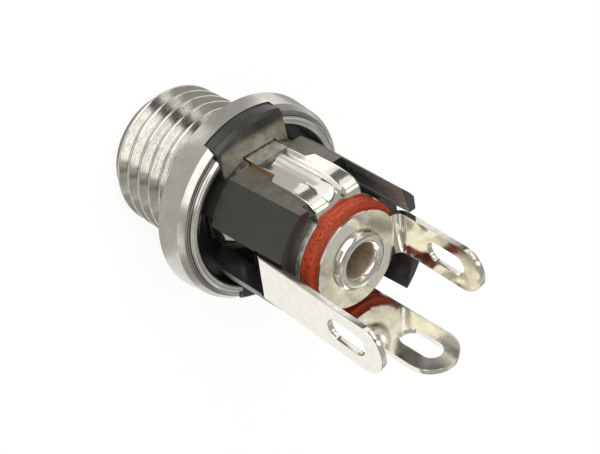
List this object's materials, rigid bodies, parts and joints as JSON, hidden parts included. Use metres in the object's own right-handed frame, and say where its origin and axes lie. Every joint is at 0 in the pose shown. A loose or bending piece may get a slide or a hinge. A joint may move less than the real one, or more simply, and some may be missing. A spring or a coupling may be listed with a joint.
{
  "type": "dc barrel jack",
  "caption": "Panel-mount power socket: a threaded, flanged metal bushing in front of a moulded insulator with a hollow centre pin and slotted solder lugs.",
  "frame": {"origin": "centre of the flange's panel face, on the plug axis", "axes": "+Z runs back along the plug axis to the solder lugs, +Y points to the strap and the larger key, +X to the centre pin's lug"},
  "size_m": [0.011, 0.011, 0.0207],
  "materials": {
    "bushing_plate": "turned, nickel plated, satin with bright edges",
    "insulator_plastic": "moulded, semi-gloss dark grey",
    "pin_plate": "turned, nickel plated, bright",
    "sleeve_sheet": "pressed sheet, nickel plated, bare cut edges",
    "spring_sheet": "pressed spring sheet, nickel plated, bare cut edges",
    "fibre": "punched red fibre, rough edge",
    "lug_sheet": "pressed sheet, nickel plated, bright"
  },
  "bodies": {
    "root": {"bushing": "bushing_plate", "insulator": "insulator_plastic", "centre_pin": "pin_plate", "sleeve_contact": "sleeve_sheet", "spring_contact": "spring_sheet", "fibre_washer": "fibre", "pin_lug": "lug_sheet"}
  },
  "joints": []
}
